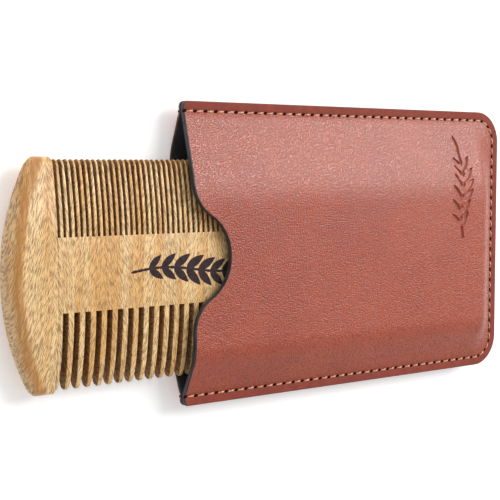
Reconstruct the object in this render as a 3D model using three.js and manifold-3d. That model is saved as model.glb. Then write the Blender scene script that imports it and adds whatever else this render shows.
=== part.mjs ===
// A double-sided wooden beard comb, half drawn out of its stitched leather sleeve.
//
// Frame: millimetres, the sleeve lying on its back panel on z = 0. +X runs from the sleeve's mouth to its
// closed end, +Y points to the comb's fine teeth, and +Z points out of the front panel, which has the thumb
// notch. The origin is the centre of the bottom of the whole object's box, with the comb half drawn out.

import * as THREE from "three";
import { mergeVertices } from "three/addons/utils/BufferGeometryUtils.js";
import Module from "manifold-3d";

const wasm = await Module();
wasm.setup();

// ---------------------------------------------------------------- driving dimensions, mm

const comb = {
  length: 100,
  width: 55.3,
  spineThickness: 8,
  tipThickness: 3, // of the wood at the tooth tips, before their ends are rounded
  flat: 9.1, // half the width of the level faces, from which the wood thins towards the teeth
  thinning: 1.5, // power of the curve that the faces follow from there to the tips
  endArcRise: 6.5, // how far each end bows out past its own corners
  rimRadius: 3.6, // of the round-over along each bowed end
  boardLength: 75.8, // of the centre board, between the glue lines of the two end blocks
  glueLine: 0.05,
  drawnOut: 48, // how far the comb stands out of the mouth at rest
  drop: 3.35, // of the comb's long axis from the sleeve's, towards -Y
};

// Roots and tips are distances from the comb's long axis. strip is the board's own wood that is left
// outside the first gap and the last; the fine row has none.
const fine = {
  side: 1,
  teeth: 51,
  strip: 0,
  gap: 0.68,
  root: 9.08,
  tip: 27.05,
  tipWidth: 0.42,
  taper: 6,
};
const coarse = {
  side: -1,
  teeth: 25,
  strip: 1.1,
  gap: 1.45,
  root: 8.47,
  tip: 26.95,
  tipWidth: 0.7,
  taper: 6,
};

const sleeve = {
  length: 114,
  width: 76.5,
  cornerRadius: 8.8,
  leather: 0.75,
  lining: 0.35,
  film: 0.05, // of glue between leather and lining
  seamFilm: 0.1, // of glue between the two linings at the seam
  frontRise: 5.2, // how far the front panel bulges from the seam
  backRise: 4.4,
  seamFlat: 3.2, // width of the flat border outside the bulge
  sideRun: 12.8, // over which a bulge grows from a long seam
  frontUpperRun: 24, // the same for the front panel's +Y side, which slopes more gently
  endRun: 9.3, // over which a bulge grows from the closed end's seam
  straight: 0.55, // share of each run over which the leather is straight, before it rounds off level
};

const notch = { depth: 10.8, bottomRadius: 12.2, shoulderRadius: 9.4, centre: -0.5 };
const seam = { inset: 2.5, fromMouth: 1.3, threadWidth: 0.5, threadHeight: 0.4, clearance: 0.05 };

const combRest = 0.35; // clearance between the comb's spine and the back lining

// ---------------------------------------------------------------- places that follow from them

const totalLength = comb.drawnOut + sleeve.length;
const mouthX = comb.drawnOut - totalLength / 2;
const panel = sleeve.leather + sleeve.film + sleeve.lining;
const seamZ = panel + sleeve.backRise + sleeve.seamFilm / 2;
const combX = (comb.length - totalLength) / 2;
const combZ = panel + combRest + comb.spineThickness / 2;

// ---------------------------------------------------------------- materials

const materials = {
  wood: new THREE.MeshStandardMaterial({ color: 0xc79d63, roughness: 0.55, metalness: 0 }),
  leather: new THREE.MeshStandardMaterial({ color: 0x9a4a38, roughness: 0.45, metalness: 0 }),
  lining: new THREE.MeshStandardMaterial({ color: 0x1d1c1f, roughness: 0.95, metalness: 0 }),
  thread: new THREE.MeshStandardMaterial({ color: 0xd98e66, roughness: 0.7, metalness: 0 }),
};

// ---------------------------------------------------------------- solids

/** A closed geometry as a manifold solid. */
function solidOf(geometry) {
  const bare = geometry.index ? geometry.toNonIndexed() : geometry.clone();
  bare.deleteAttribute("normal");
  bare.deleteAttribute("uv");
  const merged = mergeVertices(bare, 1e-4);
  return new wasm.Manifold(
    new wasm.Mesh({
      numProp: 3,
      vertProperties: merged.getAttribute("position").array,
      triVerts: new Uint32Array(merged.index.array),
    }),
  );
}

/** A manifold solid as a geometry with flat faces. */
function geometryOf(solid) {
  const mesh = solid.getMesh();
  const geometry = new THREE.BufferGeometry();
  geometry.setAttribute("position", new THREE.BufferAttribute(mesh.vertProperties, mesh.numProp));
  geometry.setIndex(new THREE.BufferAttribute(mesh.triVerts, 1));
  geometry.computeVertexNormals();
  return geometry;
}

function named(name, geometry, material) {
  const mesh = new THREE.Mesh(geometry, material);
  mesh.name = name;
  return mesh;
}

// ---------------------------------------------------------------- comb

/** Half the comb's thickness at a distance from its long axis: flat over the spine, thinner to the tips. */
function halfThickness(across) {
  const past = Math.max(0, Math.abs(across) - comb.flat) / (comb.width / 2 - comb.flat);
  return comb.spineThickness / 2 - ((comb.spineThickness - comb.tipThickness) / 2) * past ** comb.thinning;
}

/** The comb's cross-section, as a bar along X that is longer than the comb. */
function sectionBar() {
  const tipRound = comb.tipThickness / 2;
  const edge = [];
  const steps = 5;
  for (let i = 0; i <= steps; i++) {
    const across = comb.flat + ((comb.width / 2 - tipRound - comb.flat) * i) / steps;
    edge.push([across, halfThickness(across)]);
  }
  const [centre, height] = edge.at(-1);
  for (const angle of [60, 30, 0]) {
    const turn = THREE.MathUtils.degToRad(angle);
    edge.push([centre + tipRound * Math.cos(turn), height * Math.sin(turn)]);
  }
  const quarter = edge.map(([y, z]) => new THREE.Vector2(y, z));
  const upper = [...quarter.map((p) => new THREE.Vector2(-p.x, p.y)).reverse(), ...quarter];
  const lower = upper.slice(1, -1).map((p) => new THREE.Vector2(p.x, -p.y));
  const section = new THREE.Shape([...upper, ...lower.reverse()].reverse());
  const bar = new THREE.ExtrudeGeometry(section, { depth: comb.length, bevelEnabled: false });
  bar.translate(0, 0, -comb.length / 2);
  const alongX = new THREE.Matrix4().makeBasis(
    new THREE.Vector3(0, 1, 0),
    new THREE.Vector3(0, 0, 1),
    new THREE.Vector3(1, 0, 0),
  );
  return solidOf(bar.applyMatrix4(alongX));
}

/** One long edge of the centre board, from its left end to its right end, with its teeth. */
function toothedEdge(row) {
  const board = -comb.boardLength / 2;
  const start = board + row.strip;
  const width = (-2 * start - row.gap * (row.teeth + 1)) / row.teeth;
  const pitch = width + row.gap;
  const shoulder = row.tip - row.taper;
  const inset = (width - row.tipWidth) / 2;
  const strip = [
    [board, comb.width / 2],
    [board + row.strip / 2, comb.width / 2],
    [start, shoulder],
  ];
  const edge = row.strip > 0 ? [...strip, [start, row.root]] : [[start, row.root]];
  const mirrored = edge.map(([x, y]) => [-x, y]).reverse();
  for (let i = 0; i < row.teeth; i++) {
    const left = start + row.gap + i * pitch;
    const right = left + width;
    edge.push([left, row.root], [left, shoulder]);
    edge.push([left + inset, row.tip - row.tipWidth / 2]);
    edge.push([(left + right) / 2, row.tip]);
    edge.push([right - inset, row.tip - row.tipWidth / 2]);
    edge.push([right, shoulder], [right, row.root]);
  }
  return [...edge, ...mirrored].map(([x, y]) => new THREE.Vector2(x, y * row.side));
}

/** The middle of the comb: spine, fine teeth and coarse teeth, sawn from one board. */
function centreBoard(bar) {
  const outline = new THREE.Shape([...toothedEdge(coarse), ...toothedEdge(fine).reverse()]);
  const board = new THREE.ExtrudeGeometry(outline, { depth: comb.spineThickness * 2, bevelEnabled: false });
  board.translate(0, 0, -comb.spineThickness);
  return geometryOf(solidOf(board).intersect(bar));
}

/** The guard glued to one end of the centre board, bowed in plan, with a rounded rim. It points to -X. */
function endBlock(bar) {
  const half = comb.width / 2;
  const bow = (half ** 2 + comb.endArcRise ** 2) / (2 * comb.endArcRise);
  const rimHeight = comb.spineThickness / 2 + 0.2;
  const rim = new THREE.Path();
  rim.moveTo(0, -rimHeight);
  rim.lineTo(bow - comb.rimRadius, -rimHeight);
  rim.absellipse(bow - comb.rimRadius, 0, comb.rimRadius, rimHeight, -Math.PI / 2, Math.PI / 2, false, 0);
  rim.lineTo(0, rimHeight);
  const disc = new THREE.LatheGeometry(rim.getPoints(5), 180);
  disc.rotateX(Math.PI / 2);
  disc.translate(bow - comb.length / 2, 0, 0);
  const glueFace = -comb.boardLength / 2 - comb.glueLine;
  const blank = new THREE.BoxGeometry(comb.length, comb.width * 2, comb.spineThickness * 2);
  blank.translate(glueFace - comb.length / 2, 0, 0);
  return geometryOf(solidOf(blank).intersect(solidOf(disc)).intersect(bar));
}

function buildComb() {
  const bar = sectionBar();
  const blockGeometry = endBlock(bar);
  const group = new THREE.Group();
  group.position.set(combX, -comb.drop, combZ);
  group.add(named("comb_centre_board", centreBoard(bar), materials.wood));
  group.add(named("outer_end_block", blockGeometry, materials.wood));
  const innerBlock = named("inner_end_block", blockGeometry, materials.wood);
  innerBlock.rotation.z = Math.PI;
  group.add(innerBlock);
  return group;
}

// ---------------------------------------------------------------- sleeve

/** How far the notch reaches in from the mouth at a distance from the sleeve's long axis. */
function notchReach(across) {
  const { depth, bottomRadius, shoulderRadius, centre } = notch;
  const radii = bottomRadius + shoulderRadius;
  const halfWidth = Math.sqrt(2 * depth * radii - depth ** 2);
  const turn = (halfWidth * bottomRadius) / radii;
  const y = Math.abs(across - centre);
  if (y >= halfWidth) return 0;
  if (y <= turn) return depth - bottomRadius + Math.sqrt(bottomRadius ** 2 - y ** 2);
  return shoulderRadius - Math.sqrt(shoulderRadius ** 2 - (halfWidth - y) ** 2);
}

/** How far the sleeve reaches from its mouth at a distance from the long axis, with its rounded corners. */
function reach(across) {
  const past = Math.abs(across) - (sleeve.width / 2 - sleeve.cornerRadius);
  if (past <= 0) return sleeve.length;
  const rounding = Math.sqrt(Math.max(0, sleeve.cornerRadius ** 2 - past ** 2));
  return sleeve.length - sleeve.cornerRadius + rounding;
}

/** Rises from 0 to 1 over a run inside the flat border: straight at first, then rounding off level. */
function swell(inset, run) {
  const share = THREE.MathUtils.clamp((inset - sleeve.seamFlat) / run, 0, 1);
  const slope = 2 / (1 + sleeve.straight);
  if (share < sleeve.straight) return slope * share;
  return 1 - (slope * (1 - share) ** 2) / (2 * (1 - sleeve.straight));
}

/** The share of its full bulge that a panel has at a point: 0 along the sewn seams, 1 over the plateau. */
function bulge(x, y, upperRun) {
  const sideRun = y > 0 ? upperRun : sleeve.sideRun;
  return swell(sleeve.width / 2 - Math.abs(y), sideRun) * swell(reach(y) - x, sleeve.endRun);
}

// Where the sheets' grid lines lie, in mm: across the sleeve from its long axis, with the notch's own from
// its centre, and along it as shares of the way from the mouth to the end zone, then as distances from the
// closed end.
const lowerRows = [-38.25, -37.2, -35.05, -32, -29, -26, -22.2];
const notchRows = [-18.7, -16.3, -14, -12, -10, -8, -6, -3, 0, 3, 6, 8, 10, 12, 14, 16.3, 18.7];
const upperRows = [22.2, 26, 29, 32, 35.05, 37.2, 38.25];
const rows = [...lowerRows, ...notchRows.map((y) => y + notch.centre), ...upperRows];
const alongShares = [0, 0.15, 0.35, 0.6, 0.8];
const endInsets = [12.5, 10, 7.5, 5.2, 3.2, 0];

/** Where a row's grid points lie, from the mouth or the notch to the closed end. */
function stations(y, notched) {
  const near = notched ? notchReach(y) : 0;
  const far = reach(y);
  const run = far - endInsets[0] - near;
  return [...alongShares.map((share) => near + share * run), ...endInsets.map((inset) => far - inset)];
}

/** One bulged sheet of a face of the sleeve. from is its inner side's distance from the middle of the seam. */
function sheet(face, from, thickness) {
  const { side, rise, upperRun, notched } = face;
  const positions = [];
  for (const added of [0, thickness]) {
    for (const y of rows) {
      for (const x of stations(y, notched)) {
        positions.push(mouthX + x, y, seamZ + side * (from + rise * bulge(x, y, upperRun) + added));
      }
    }
  }
  const lastRow = rows.length - 1;
  const lastColumn = alongShares.length + endInsets.length - 1;
  const inner = (row, column) => row * (lastColumn + 1) + column;
  const outer = (row, column) => inner(row, column) + positions.length / 6;
  const index = [];
  const quad = (a, b, c, d) => (side > 0 ? index.push(a, b, c, a, c, d) : index.push(c, b, a, d, c, a));
  const wall = (a, b) => quad(inner(...a), inner(...b), outer(...b), outer(...a));
  for (let row = 0; row < lastRow; row++) {
    const above = row + 1;
    for (let column = 0; column < lastColumn; column++) {
      const next = column + 1;
      quad(outer(row, column), outer(row, next), outer(above, next), outer(above, column));
      quad(inner(row, column), inner(above, column), inner(above, next), inner(row, next));
    }
    wall([row, lastColumn], [above, lastColumn]);
    wall([above, 0], [row, 0]);
  }
  for (let column = 0; column < lastColumn; column++) {
    wall([0, column], [0, column + 1]);
    wall([lastRow, column + 1], [lastRow, column]);
  }
  const geometry = new THREE.BufferGeometry();
  geometry.setAttribute("position", new THREE.Float32BufferAttribute(positions, 3));
  geometry.setIndex(index);
  geometry.computeVertexNormals();
  return geometry;
}

/** The run of thread along one face of the seam, from the mouth round the closed end and back. */
function threadRun(side) {
  const along = (inset) => {
    const half = sleeve.width / 2 - inset;
    const end = sleeve.length - inset;
    const radius = sleeve.cornerRadius - inset;
    const path = new THREE.Path();
    path.moveTo(seam.fromMouth, -half);
    path.absarc(end - radius, -half + radius, radius, -Math.PI / 2, 0);
    path.absarc(end - radius, half - radius, radius, 0, Math.PI / 2);
    path.lineTo(seam.fromMouth, half);
    return path.getPoints(8);
  };
  const outline = new THREE.Shape([
    ...along(seam.inset - seam.threadWidth / 2),
    ...along(seam.inset + seam.threadWidth / 2).reverse(),
  ]);
  const run = new THREE.ExtrudeGeometry(outline, { depth: seam.threadHeight, bevelEnabled: false });
  const face = sleeve.seamFilm / 2 + panel + seam.clearance;
  run.translate(mouthX, 0, side > 0 ? seamZ + face : seamZ - face - seam.threadHeight);
  return run;
}

function buildSleeve() {
  const group = new THREE.Group();
  const liningFrom = sleeve.seamFilm / 2;
  const leatherFrom = liningFrom + sleeve.lining + sleeve.film;
  const faces = [
    { name: "front", side: 1, rise: sleeve.frontRise, upperRun: sleeve.frontUpperRun, notched: true },
    { name: "back", side: -1, rise: sleeve.backRise, upperRun: sleeve.sideRun, notched: false },
  ];
  for (const face of faces) {
    const lining = sheet(face, liningFrom, sleeve.lining);
    const leather = sheet(face, leatherFrom, sleeve.leather);
    group.add(named(`${face.name}_lining`, lining, materials.lining));
    group.add(named(`${face.name}_leather_panel`, leather, materials.leather));
  }
  group.add(named("needle_thread", threadRun(1), materials.thread));
  group.add(named("bobbin_thread", threadRun(-1), materials.thread));
  return group;
}

const beardComb = new THREE.Group();
beardComb.add(buildComb(), buildSleeve());

export default beardComb;
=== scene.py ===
"""Looks of a double-sided wooden beard comb, half drawn out of its stitched leather sleeve.

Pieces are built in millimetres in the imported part's own frame, and scaled to metres as they become meshes. The
sleeve lies on its back panel: +X runs from its mouth to its closed end, +Y points to the comb's fine teeth, and +Z
points out of the front panel.
"""

import logging
import math
from collections.abc import Iterable, Sequence
from dataclasses import dataclass, replace
from enum import Enum

import bmesh
import bpy
import numpy as np
from mathutils import Matrix, Vector


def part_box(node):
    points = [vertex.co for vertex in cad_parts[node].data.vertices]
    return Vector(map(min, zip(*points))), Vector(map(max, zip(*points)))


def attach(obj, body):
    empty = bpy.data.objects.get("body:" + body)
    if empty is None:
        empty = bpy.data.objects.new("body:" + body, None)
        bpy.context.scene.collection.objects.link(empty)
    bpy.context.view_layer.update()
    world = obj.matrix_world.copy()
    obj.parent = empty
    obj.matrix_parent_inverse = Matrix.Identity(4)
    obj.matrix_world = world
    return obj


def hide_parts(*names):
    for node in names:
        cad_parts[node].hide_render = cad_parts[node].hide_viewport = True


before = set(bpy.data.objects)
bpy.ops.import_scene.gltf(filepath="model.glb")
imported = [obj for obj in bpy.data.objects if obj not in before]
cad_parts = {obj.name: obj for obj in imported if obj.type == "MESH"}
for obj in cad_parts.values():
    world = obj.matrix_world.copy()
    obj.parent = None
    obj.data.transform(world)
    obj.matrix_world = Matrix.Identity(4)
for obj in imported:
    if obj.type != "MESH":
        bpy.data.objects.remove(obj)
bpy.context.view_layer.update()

MM = 0.001
"""Metres in a millimetre."""

Triple = tuple[float, float, float]
Colour = Triple
Span = tuple[float, float]
Socket = bpy.types.NodeSocket

log = logging.getLogger("beard_comb")


class Body(Enum):
    """The rigid bodies that pieces ride on."""

    COMB = "comb"
    SLEEVE = "sleeve"


class Slot(Enum):
    """The record's material slots."""

    WOOD = "wood"
    LEATHER = "leather"
    LINING = "lining"
    THREAD = "thread"


class Side(Enum):
    """The sleeve's two faces, with the direction that each one faces along Z."""

    FRONT = 1
    BACK = -1


def node_box(*names: str) -> tuple[Vector, Vector]:
    """Finds the box round some CAD nodes.

    Args:
        names: The nodes.

    Returns:
        Its lowest and highest corners, in millimetres.
    """
    corners = [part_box(name) for name in names]
    low = Vector(min(box[0][axis] for box in corners) for axis in range(3)) / MM
    high = Vector(max(box[1][axis] for box in corners) for axis in range(3)) / MM
    return low, high


# ------------------------------------------------------------------------------------------------ meshes


@dataclass(frozen=True)
class Piece:
    """What a piece is called, what it rides on, and which CAD nodes it stands for."""

    name: str
    body: Body
    slot: Slot
    replaces: tuple[str, ...] = ()


class MeshDraft:
    """Points in millimetres and faces with a finish number, gathered before they become one mesh."""

    MERGE = 1e-7
    """Points that are nearer than this, in metres, become one."""
    SHARP_ANGLE = math.radians(38)
    """A bend of more than this is left sharp."""

    def __init__(self) -> None:
        """Starts with nothing."""
        self.points: list[tuple[float, ...]] = []
        self.faces: list[tuple[int, ...]] = []
        self.finishes: list[int] = []

    def ring(self, points: Iterable[Sequence[float]]) -> list[int]:
        """Adds points.

        Args:
            points: Their places, in millimetres.

        Returns:
            Their numbers.
        """
        first = len(self.points)
        self.points.extend(tuple(float(value) for value in point) for point in points)
        return list(range(first, len(self.points)))

    def face(self, corners: Sequence[int], finish: int = 0) -> None:
        """Adds a face, leaving out a corner that repeats the one before it.

        Args:
            corners: The numbers of its points, in order.
            finish: Its place in the piece's list of materials.
        """
        distinct = [corner for i, corner in enumerate(corners) if corner != corners[i - 1]]
        if len(distinct) > 2:
            self.faces.append(tuple(distinct))
            self.finishes.append(finish)

    def loft(self, rings: Sequence[Sequence[int]], closed: bool = True, finish: int = 0) -> None:
        """Joins each ring to the next with a band of quads.

        Args:
            rings: Rings of equal length.
            closed: Whether a ring's last point joins its first.
            finish: The band's place in the piece's list of materials.
        """
        for low, high in zip(rings, rings[1:]):
            for i in range(len(low) if closed else len(low) - 1):
                j = (i + 1) % len(low)
                self.face((low[i], low[j], high[j], high[i]), finish)

    def build(self, piece: Piece, materials: Sequence[bpy.types.Material]) -> bpy.types.Object:
        """Makes the mesh, and sets it riding.

        Args:
            piece: Its name, body, slot and CAD nodes.
            materials: Its finishes, in the order that the faces number them.

        Returns:
            The new object.
        """
        mesh = bpy.data.meshes.new(piece.name)
        mesh.from_pydata([tuple(value * MM for value in point) for point in self.points], [], self.faces)
        for material in materials:
            mesh.materials.append(material)
        mesh.polygons.foreach_set("material_index", self.finishes)
        shaping = bmesh.new()
        shaping.from_mesh(mesh)
        bmesh.ops.remove_doubles(shaping, verts=shaping.verts, dist=self.MERGE)
        bmesh.ops.recalc_face_normals(shaping, faces=shaping.faces)
        shaping.to_mesh(mesh)
        shaping.free()
        mesh.shade_smooth()
        mesh.set_sharp_from_angle(angle=self.SHARP_ANGLE)
        made = bpy.data.objects.new(piece.name, mesh)
        bpy.context.scene.collection.objects.link(made)
        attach(made, piece.body.value)
        if piece.replaces:
            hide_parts(*piece.replaces)
        log.info("%s: %d faces, rides on %s", piece.name, len(mesh.polygons), piece.body.value)
        return made


def eased(share: np.ndarray | float) -> np.ndarray | float:
    """Rises from 0 to 1 as share does, level at both ends."""
    held = np.clip(share, 0.0, 1.0)
    return held * held * (3.0 - 2.0 * held)


def rounded(distance: np.ndarray | float, reach: float) -> np.ndarray | float:
    """Follows a quarter ellipse: 0 at distance 0, and 1 from reach on."""
    short = 1.0 - np.clip(np.asarray(distance, dtype=float) / reach, 0.0, 1.0)
    return np.sqrt(1.0 - short * short)


# ------------------------------------------------------------------------------------------------ shader nodes


class NodeSheet:
    """A node tree being laid out."""

    COLOUR_MIX = (6, 7, 2)
    """Where a Mix node keeps its two colour inputs and its colour output."""

    def __init__(self, tree: bpy.types.NodeTree) -> None:
        """Takes an empty material's or group's tree."""
        self.tree = tree

    def put(self, socket: Socket, value: object) -> None:
        """Links a socket to an input, or sets the input's value.

        Args:
            socket: The input.
            value: A socket, or what the input is set to. A colour may leave out its alpha.
        """
        if isinstance(value, bpy.types.NodeSocket):
            self.tree.links.new(value, socket)
        elif socket.type == "RGBA":
            socket.default_value = (*value, 1.0)
        else:
            socket.default_value = value

    def add(self, kind: str, inputs: dict[str | int, object], **settings: object) -> bpy.types.Node:
        """Adds a node.

        Args:
            kind: Its type, without the ShaderNode at the front.
            inputs: Values or sockets for its inputs.
            settings: Its own properties.

        Returns:
            The node.
        """
        node = self.tree.nodes.new("ShaderNode" + kind)
        for key, value in settings.items():
            setattr(node, key, value)
        for key, value in inputs.items():
            self.put(node.inputs[key], value)
        return node

    def math(self, operation: str, *values: object) -> Socket:
        """Adds a Math node and returns its result."""
        return self.add("Math", dict(enumerate(values)), operation=operation).outputs[0]

    def vector_math(self, operation: str, *values: object) -> bpy.types.Node:
        """Adds a Vector Math node."""
        return self.add("VectorMath", dict(enumerate(values)), operation=operation)

    def smooth_step(self, value: Socket, span: Span, to: Span = (0.0, 1.0)) -> Socket:
        """Adds a node that goes smoothly from one result to another as a value rises.

        Args:
            value: What it follows.
            span: Where the value starts to count, and where it has counted in full.
            to: The results at the two ends of the span.

        Returns:
            Its result.
        """
        inputs = {"Value": value, "From Min": span[0], "From Max": span[1], "To Min": to[0], "To Max": to[1]}
        return self.add("MapRange", inputs, interpolation_type="SMOOTHSTEP").outputs[0]

    def noise(self, vector: Socket, stretch: Triple, turn: float = 0.0, detail: float = 2.0) -> Socket:
        """Adds noise over stretched space.

        Args:
            vector: The place, in millimetres.
            stretch: The size of a patch along each axis, in millimetres.
            turn: How far the patches are turned about Z, in radians.
            detail: How many finer layers it has.

        Returns:
            A value about 0.5.
        """
        rotation = {"Vector": vector, "Angle": turn}
        turned = self.add("VectorRotate", rotation, rotation_type="Z_AXIS").outputs[0]
        scale = tuple(1.0 / size for size in stretch)
        placed = self.add("Mapping", {"Vector": turned, "Scale": scale}).outputs[0]
        return self.plain_noise(placed, 1.0, detail).outputs["Fac"]

    def plain_noise(self, vector: Socket, scale: float, detail: float) -> bpy.types.Node:
        """Adds noise at a scale."""
        return self.add("TexNoise", {"Vector": vector, "Scale": scale, "Detail": detail})

    def mix(self, factor: Socket | float, first: object, second: object) -> Socket:
        """Mixes two colours.

        Args:
            factor: How much of the second.
            first: A colour or a socket.
            second: A colour or a socket.

        Returns:
            The mixed colour.
        """
        node = self.add("Mix", {0: factor}, data_type="RGBA", blend_type="MIX")
        first_place, second_place, result_place = self.COLOUR_MIX
        self.put(node.inputs[first_place], first)
        self.put(node.inputs[second_place], second)
        return node.outputs[result_place]

    def millimetres(self) -> Socket:
        """Adds the place on the piece, in millimetres of the part's frame at rest."""
        place = self.add("TexCoord", {}).outputs["Object"]
        return self.add("VectorMath", {0: place, "Scale": 1.0 / MM}, operation="SCALE").outputs[0]

    def per_size(self, place: Socket, size: Socket) -> Socket:
        """Divides a place by a size."""
        scale = self.math("DIVIDE", 1.0, size)
        return self.add("VectorMath", {0: place, "Scale": scale}, operation="SCALE").outputs[0]

    def use(self, group: bpy.types.NodeTree, inputs: dict[str, object]) -> dict[str, Socket]:
        """Places a group.

        Args:
            group: The shared node group.
            inputs: Values or sockets for its inputs.

        Returns:
            Its outputs, by name.
        """
        node = self.tree.nodes.new("ShaderNodeGroup")
        node.node_tree = group
        for key, value in inputs.items():
            self.put(node.inputs[key], value)
        return {socket.name: socket for socket in node.outputs}


class EffectGroup:
    """A shader node group with named inputs and outputs, built once and placed in several materials."""

    def __init__(self, name: str, inputs: dict[str, str], outputs: dict[str, str]) -> None:
        """Makes the empty group.

        Args:
            name: The group's name.
            inputs: Its inputs' names, with the kind of each.
            outputs: Its outputs' names, with the kind of each.
        """
        self.tree = bpy.data.node_groups.new(name, "ShaderNodeTree")
        for way, sockets in (("INPUT", inputs), ("OUTPUT", outputs)):
            for title, kind in sockets.items():
                self.tree.interface.new_socket(title, in_out=way, socket_type="NodeSocket" + kind)
        self.sheet = NodeSheet(self.tree)
        self.given = self.tree.nodes.new("NodeGroupInput").outputs
        self.result = self.tree.nodes.new("NodeGroupOutput").inputs

    def give(self, **results: Socket) -> bpy.types.NodeTree:
        """Links what the group puts out.

        Args:
            results: A socket for each output, by its name.

        Returns:
            The finished group.
        """
        for title, socket in results.items():
            self.tree.links.new(socket, self.result[title])
        return self.tree


@dataclass(frozen=True)
class Mottle:
    """Soft patches of two colours, with finer flecks in them."""

    flecks_per_patch: float = 11.0
    patch_detail: float = 2.0
    fleck_detail: float = 3.0
    patch_share: float = 0.7
    fleck_share: float = 0.3
    span: Span = (0.36, 0.64)

    def built(self) -> bpy.types.NodeTree:
        """Builds the group.

        Returns:
            The group: Place, Patch, Low and High in, Color and Value out.
        """
        inputs = {"Place": "Vector", "Patch": "Float", "Low": "Color", "High": "Color"}
        group = EffectGroup("mottle", inputs, {"Color": "Color", "Value": "Float"})
        sheet, given = group.sheet, group.given
        scaled = sheet.per_size(given["Place"], given["Patch"])
        broad = sheet.plain_noise(scaled, 1.0, self.patch_detail).outputs["Fac"]
        flecks = sheet.plain_noise(scaled, self.flecks_per_patch, self.fleck_detail).outputs["Fac"]
        shares = [sheet.math("MULTIPLY", broad, self.patch_share)]
        shares.append(sheet.math("MULTIPLY", flecks, self.fleck_share))
        value = sheet.smooth_step(sheet.math("ADD", *shares), self.span)
        return group.give(Color=sheet.mix(value, given["Low"], given["High"]), Value=value)


@dataclass(frozen=True)
class RibbonGrain:
    """Interlocked wood grain, whose fibres run along Y and lean one way and the other in bands across X."""

    drift_size: Triple = (9.0, 46.0, 30.0)
    drift: float = 9.0
    lean_span: Span = (-0.45, 0.45)
    left_lean: float = math.radians(17)
    right_lean: float = math.radians(-15)
    streak_size: Triple = (0.16, 2.0, 1.2)
    pore_span: Span = (0.485, 0.59)
    pore_depth: float = 0.9
    warmth_size: Triple = (3.4, 60.0, 6.0)
    warmth_lean: float = 0.05
    warmth_span: Span = (0.38, 0.64)
    fibre_size: Triple = (0.3, 14.0, 0.9)
    ribbon_strength: float = 0.06
    vein_span: Span = (0.33, 0.62)
    vein_strength: Span = (0.22, 0.0)

    def built(self) -> bpy.types.NodeTree:
        """Builds the group.

        Returns:
            The group: Place, Band, Pale, Warm, Dark and Figure in, Color and Height out.
        """
        inputs = {"Place": "Vector", "Band": "Float", "Pale": "Color", "Warm": "Color", "Dark": "Color"}
        inputs["Figure"] = "Float"
        group = EffectGroup("ribbon_grain", inputs, {"Color": "Color", "Height": "Float"})
        sheet, given = group.sheet, group.given
        place = given["Place"]
        split = sheet.add("SeparateXYZ", {0: place})
        drift = sheet.math("MULTIPLY", sheet.noise(place, self.drift_size), self.drift)
        across = sheet.math("ADD", split.outputs["X"], drift)
        phase = sheet.math("DIVIDE", sheet.math("MULTIPLY", across, math.tau), given["Band"])
        wave = sheet.math("SINE", phase)
        lean = sheet.smooth_step(wave, self.lean_span)
        left = sheet.math("MULTIPLY", sheet.noise(place, self.streak_size, self.left_lean), lean)
        right = sheet.noise(place, self.streak_size, self.right_lean)
        right = sheet.math("MULTIPLY", right, sheet.math("SUBTRACT", 1.0, lean))
        pores = sheet.smooth_step(sheet.math("ADD", left, right), self.pore_span)
        warmth = sheet.noise(place, self.warmth_size, self.warmth_lean)
        fibre = sheet.noise(place, self.fibre_size)
        tone = sheet.math("ADD", fibre, sheet.math("MULTIPLY", wave, self.ribbon_strength))
        base = sheet.mix(sheet.smooth_step(warmth, self.warmth_span), given["Pale"], given["Warm"])
        toned = sheet.mix(sheet.smooth_step(tone, self.vein_span, self.vein_strength), base, given["Dark"])
        figured = sheet.mix(sheet.math("MULTIPLY", pores, given["Figure"]), toned, given["Dark"])
        height = sheet.math("SUBTRACT", fibre, sheet.math("MULTIPLY", pores, self.pore_depth))
        return group.give(Color=figured, Height=height)


@dataclass(frozen=True)
class PebbleGrain:
    """The fine pebbles and creases of an embossed hide."""

    warp_scale: float = 0.6
    softness: float = 0.22
    crease_span: Span = (0.30, 0.80)
    swell_scale: float = 0.27
    swell_height: float = 0.3

    def built(self) -> bpy.types.NodeTree:
        """Builds the group.

        Returns:
            The group: Place and Pebble in, Height and Crease out.
        """
        inputs = {"Place": "Vector", "Pebble": "Float"}
        group = EffectGroup("pebble_grain", inputs, {"Height": "Float", "Crease": "Float"})
        sheet, given = group.sheet, group.given
        scaled = sheet.per_size(given["Place"], given["Pebble"])
        warp = sheet.plain_noise(scaled, self.warp_scale, 1.0).outputs["Color"]
        bent = sheet.vector_math("ADD", scaled, warp).outputs[0]
        inputs = {"Vector": bent, "Scale": 1.0, "Smoothness": self.softness}
        cells = sheet.add("TexVoronoi", inputs, feature="SMOOTH_F1").outputs[0]
        crease = sheet.smooth_step(cells, self.crease_span)
        swell = sheet.plain_noise(scaled, self.swell_scale, 2.0).outputs["Fac"]
        raised = sheet.math("MULTIPLY", swell, self.swell_height)
        height = sheet.math("ADD", sheet.math("SUBTRACT", 1.0, crease), raised)
        return group.give(Height=height, Crease=crease)


@dataclass(frozen=True)
class Effects:
    """The shared node groups."""

    mottle: bpy.types.NodeTree
    ribbon_grain: bpy.types.NodeTree
    pebble: bpy.types.NodeTree

    @classmethod
    def built(cls) -> "Effects":
        """Builds them all once."""
        return cls(Mottle().built(), RibbonGrain().built(), PebbleGrain().built())


# ------------------------------------------------------------------------------------------------ finishes


@dataclass(frozen=True)
class Gloss:
    """Numbers that are the same all over a surface, for the shader's own sockets."""

    specular: float = 0.5
    sheen: float = 0.0
    sheen_roughness: float = 0.5
    coat: float = 0.0
    coat_roughness: float = 0.2


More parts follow.
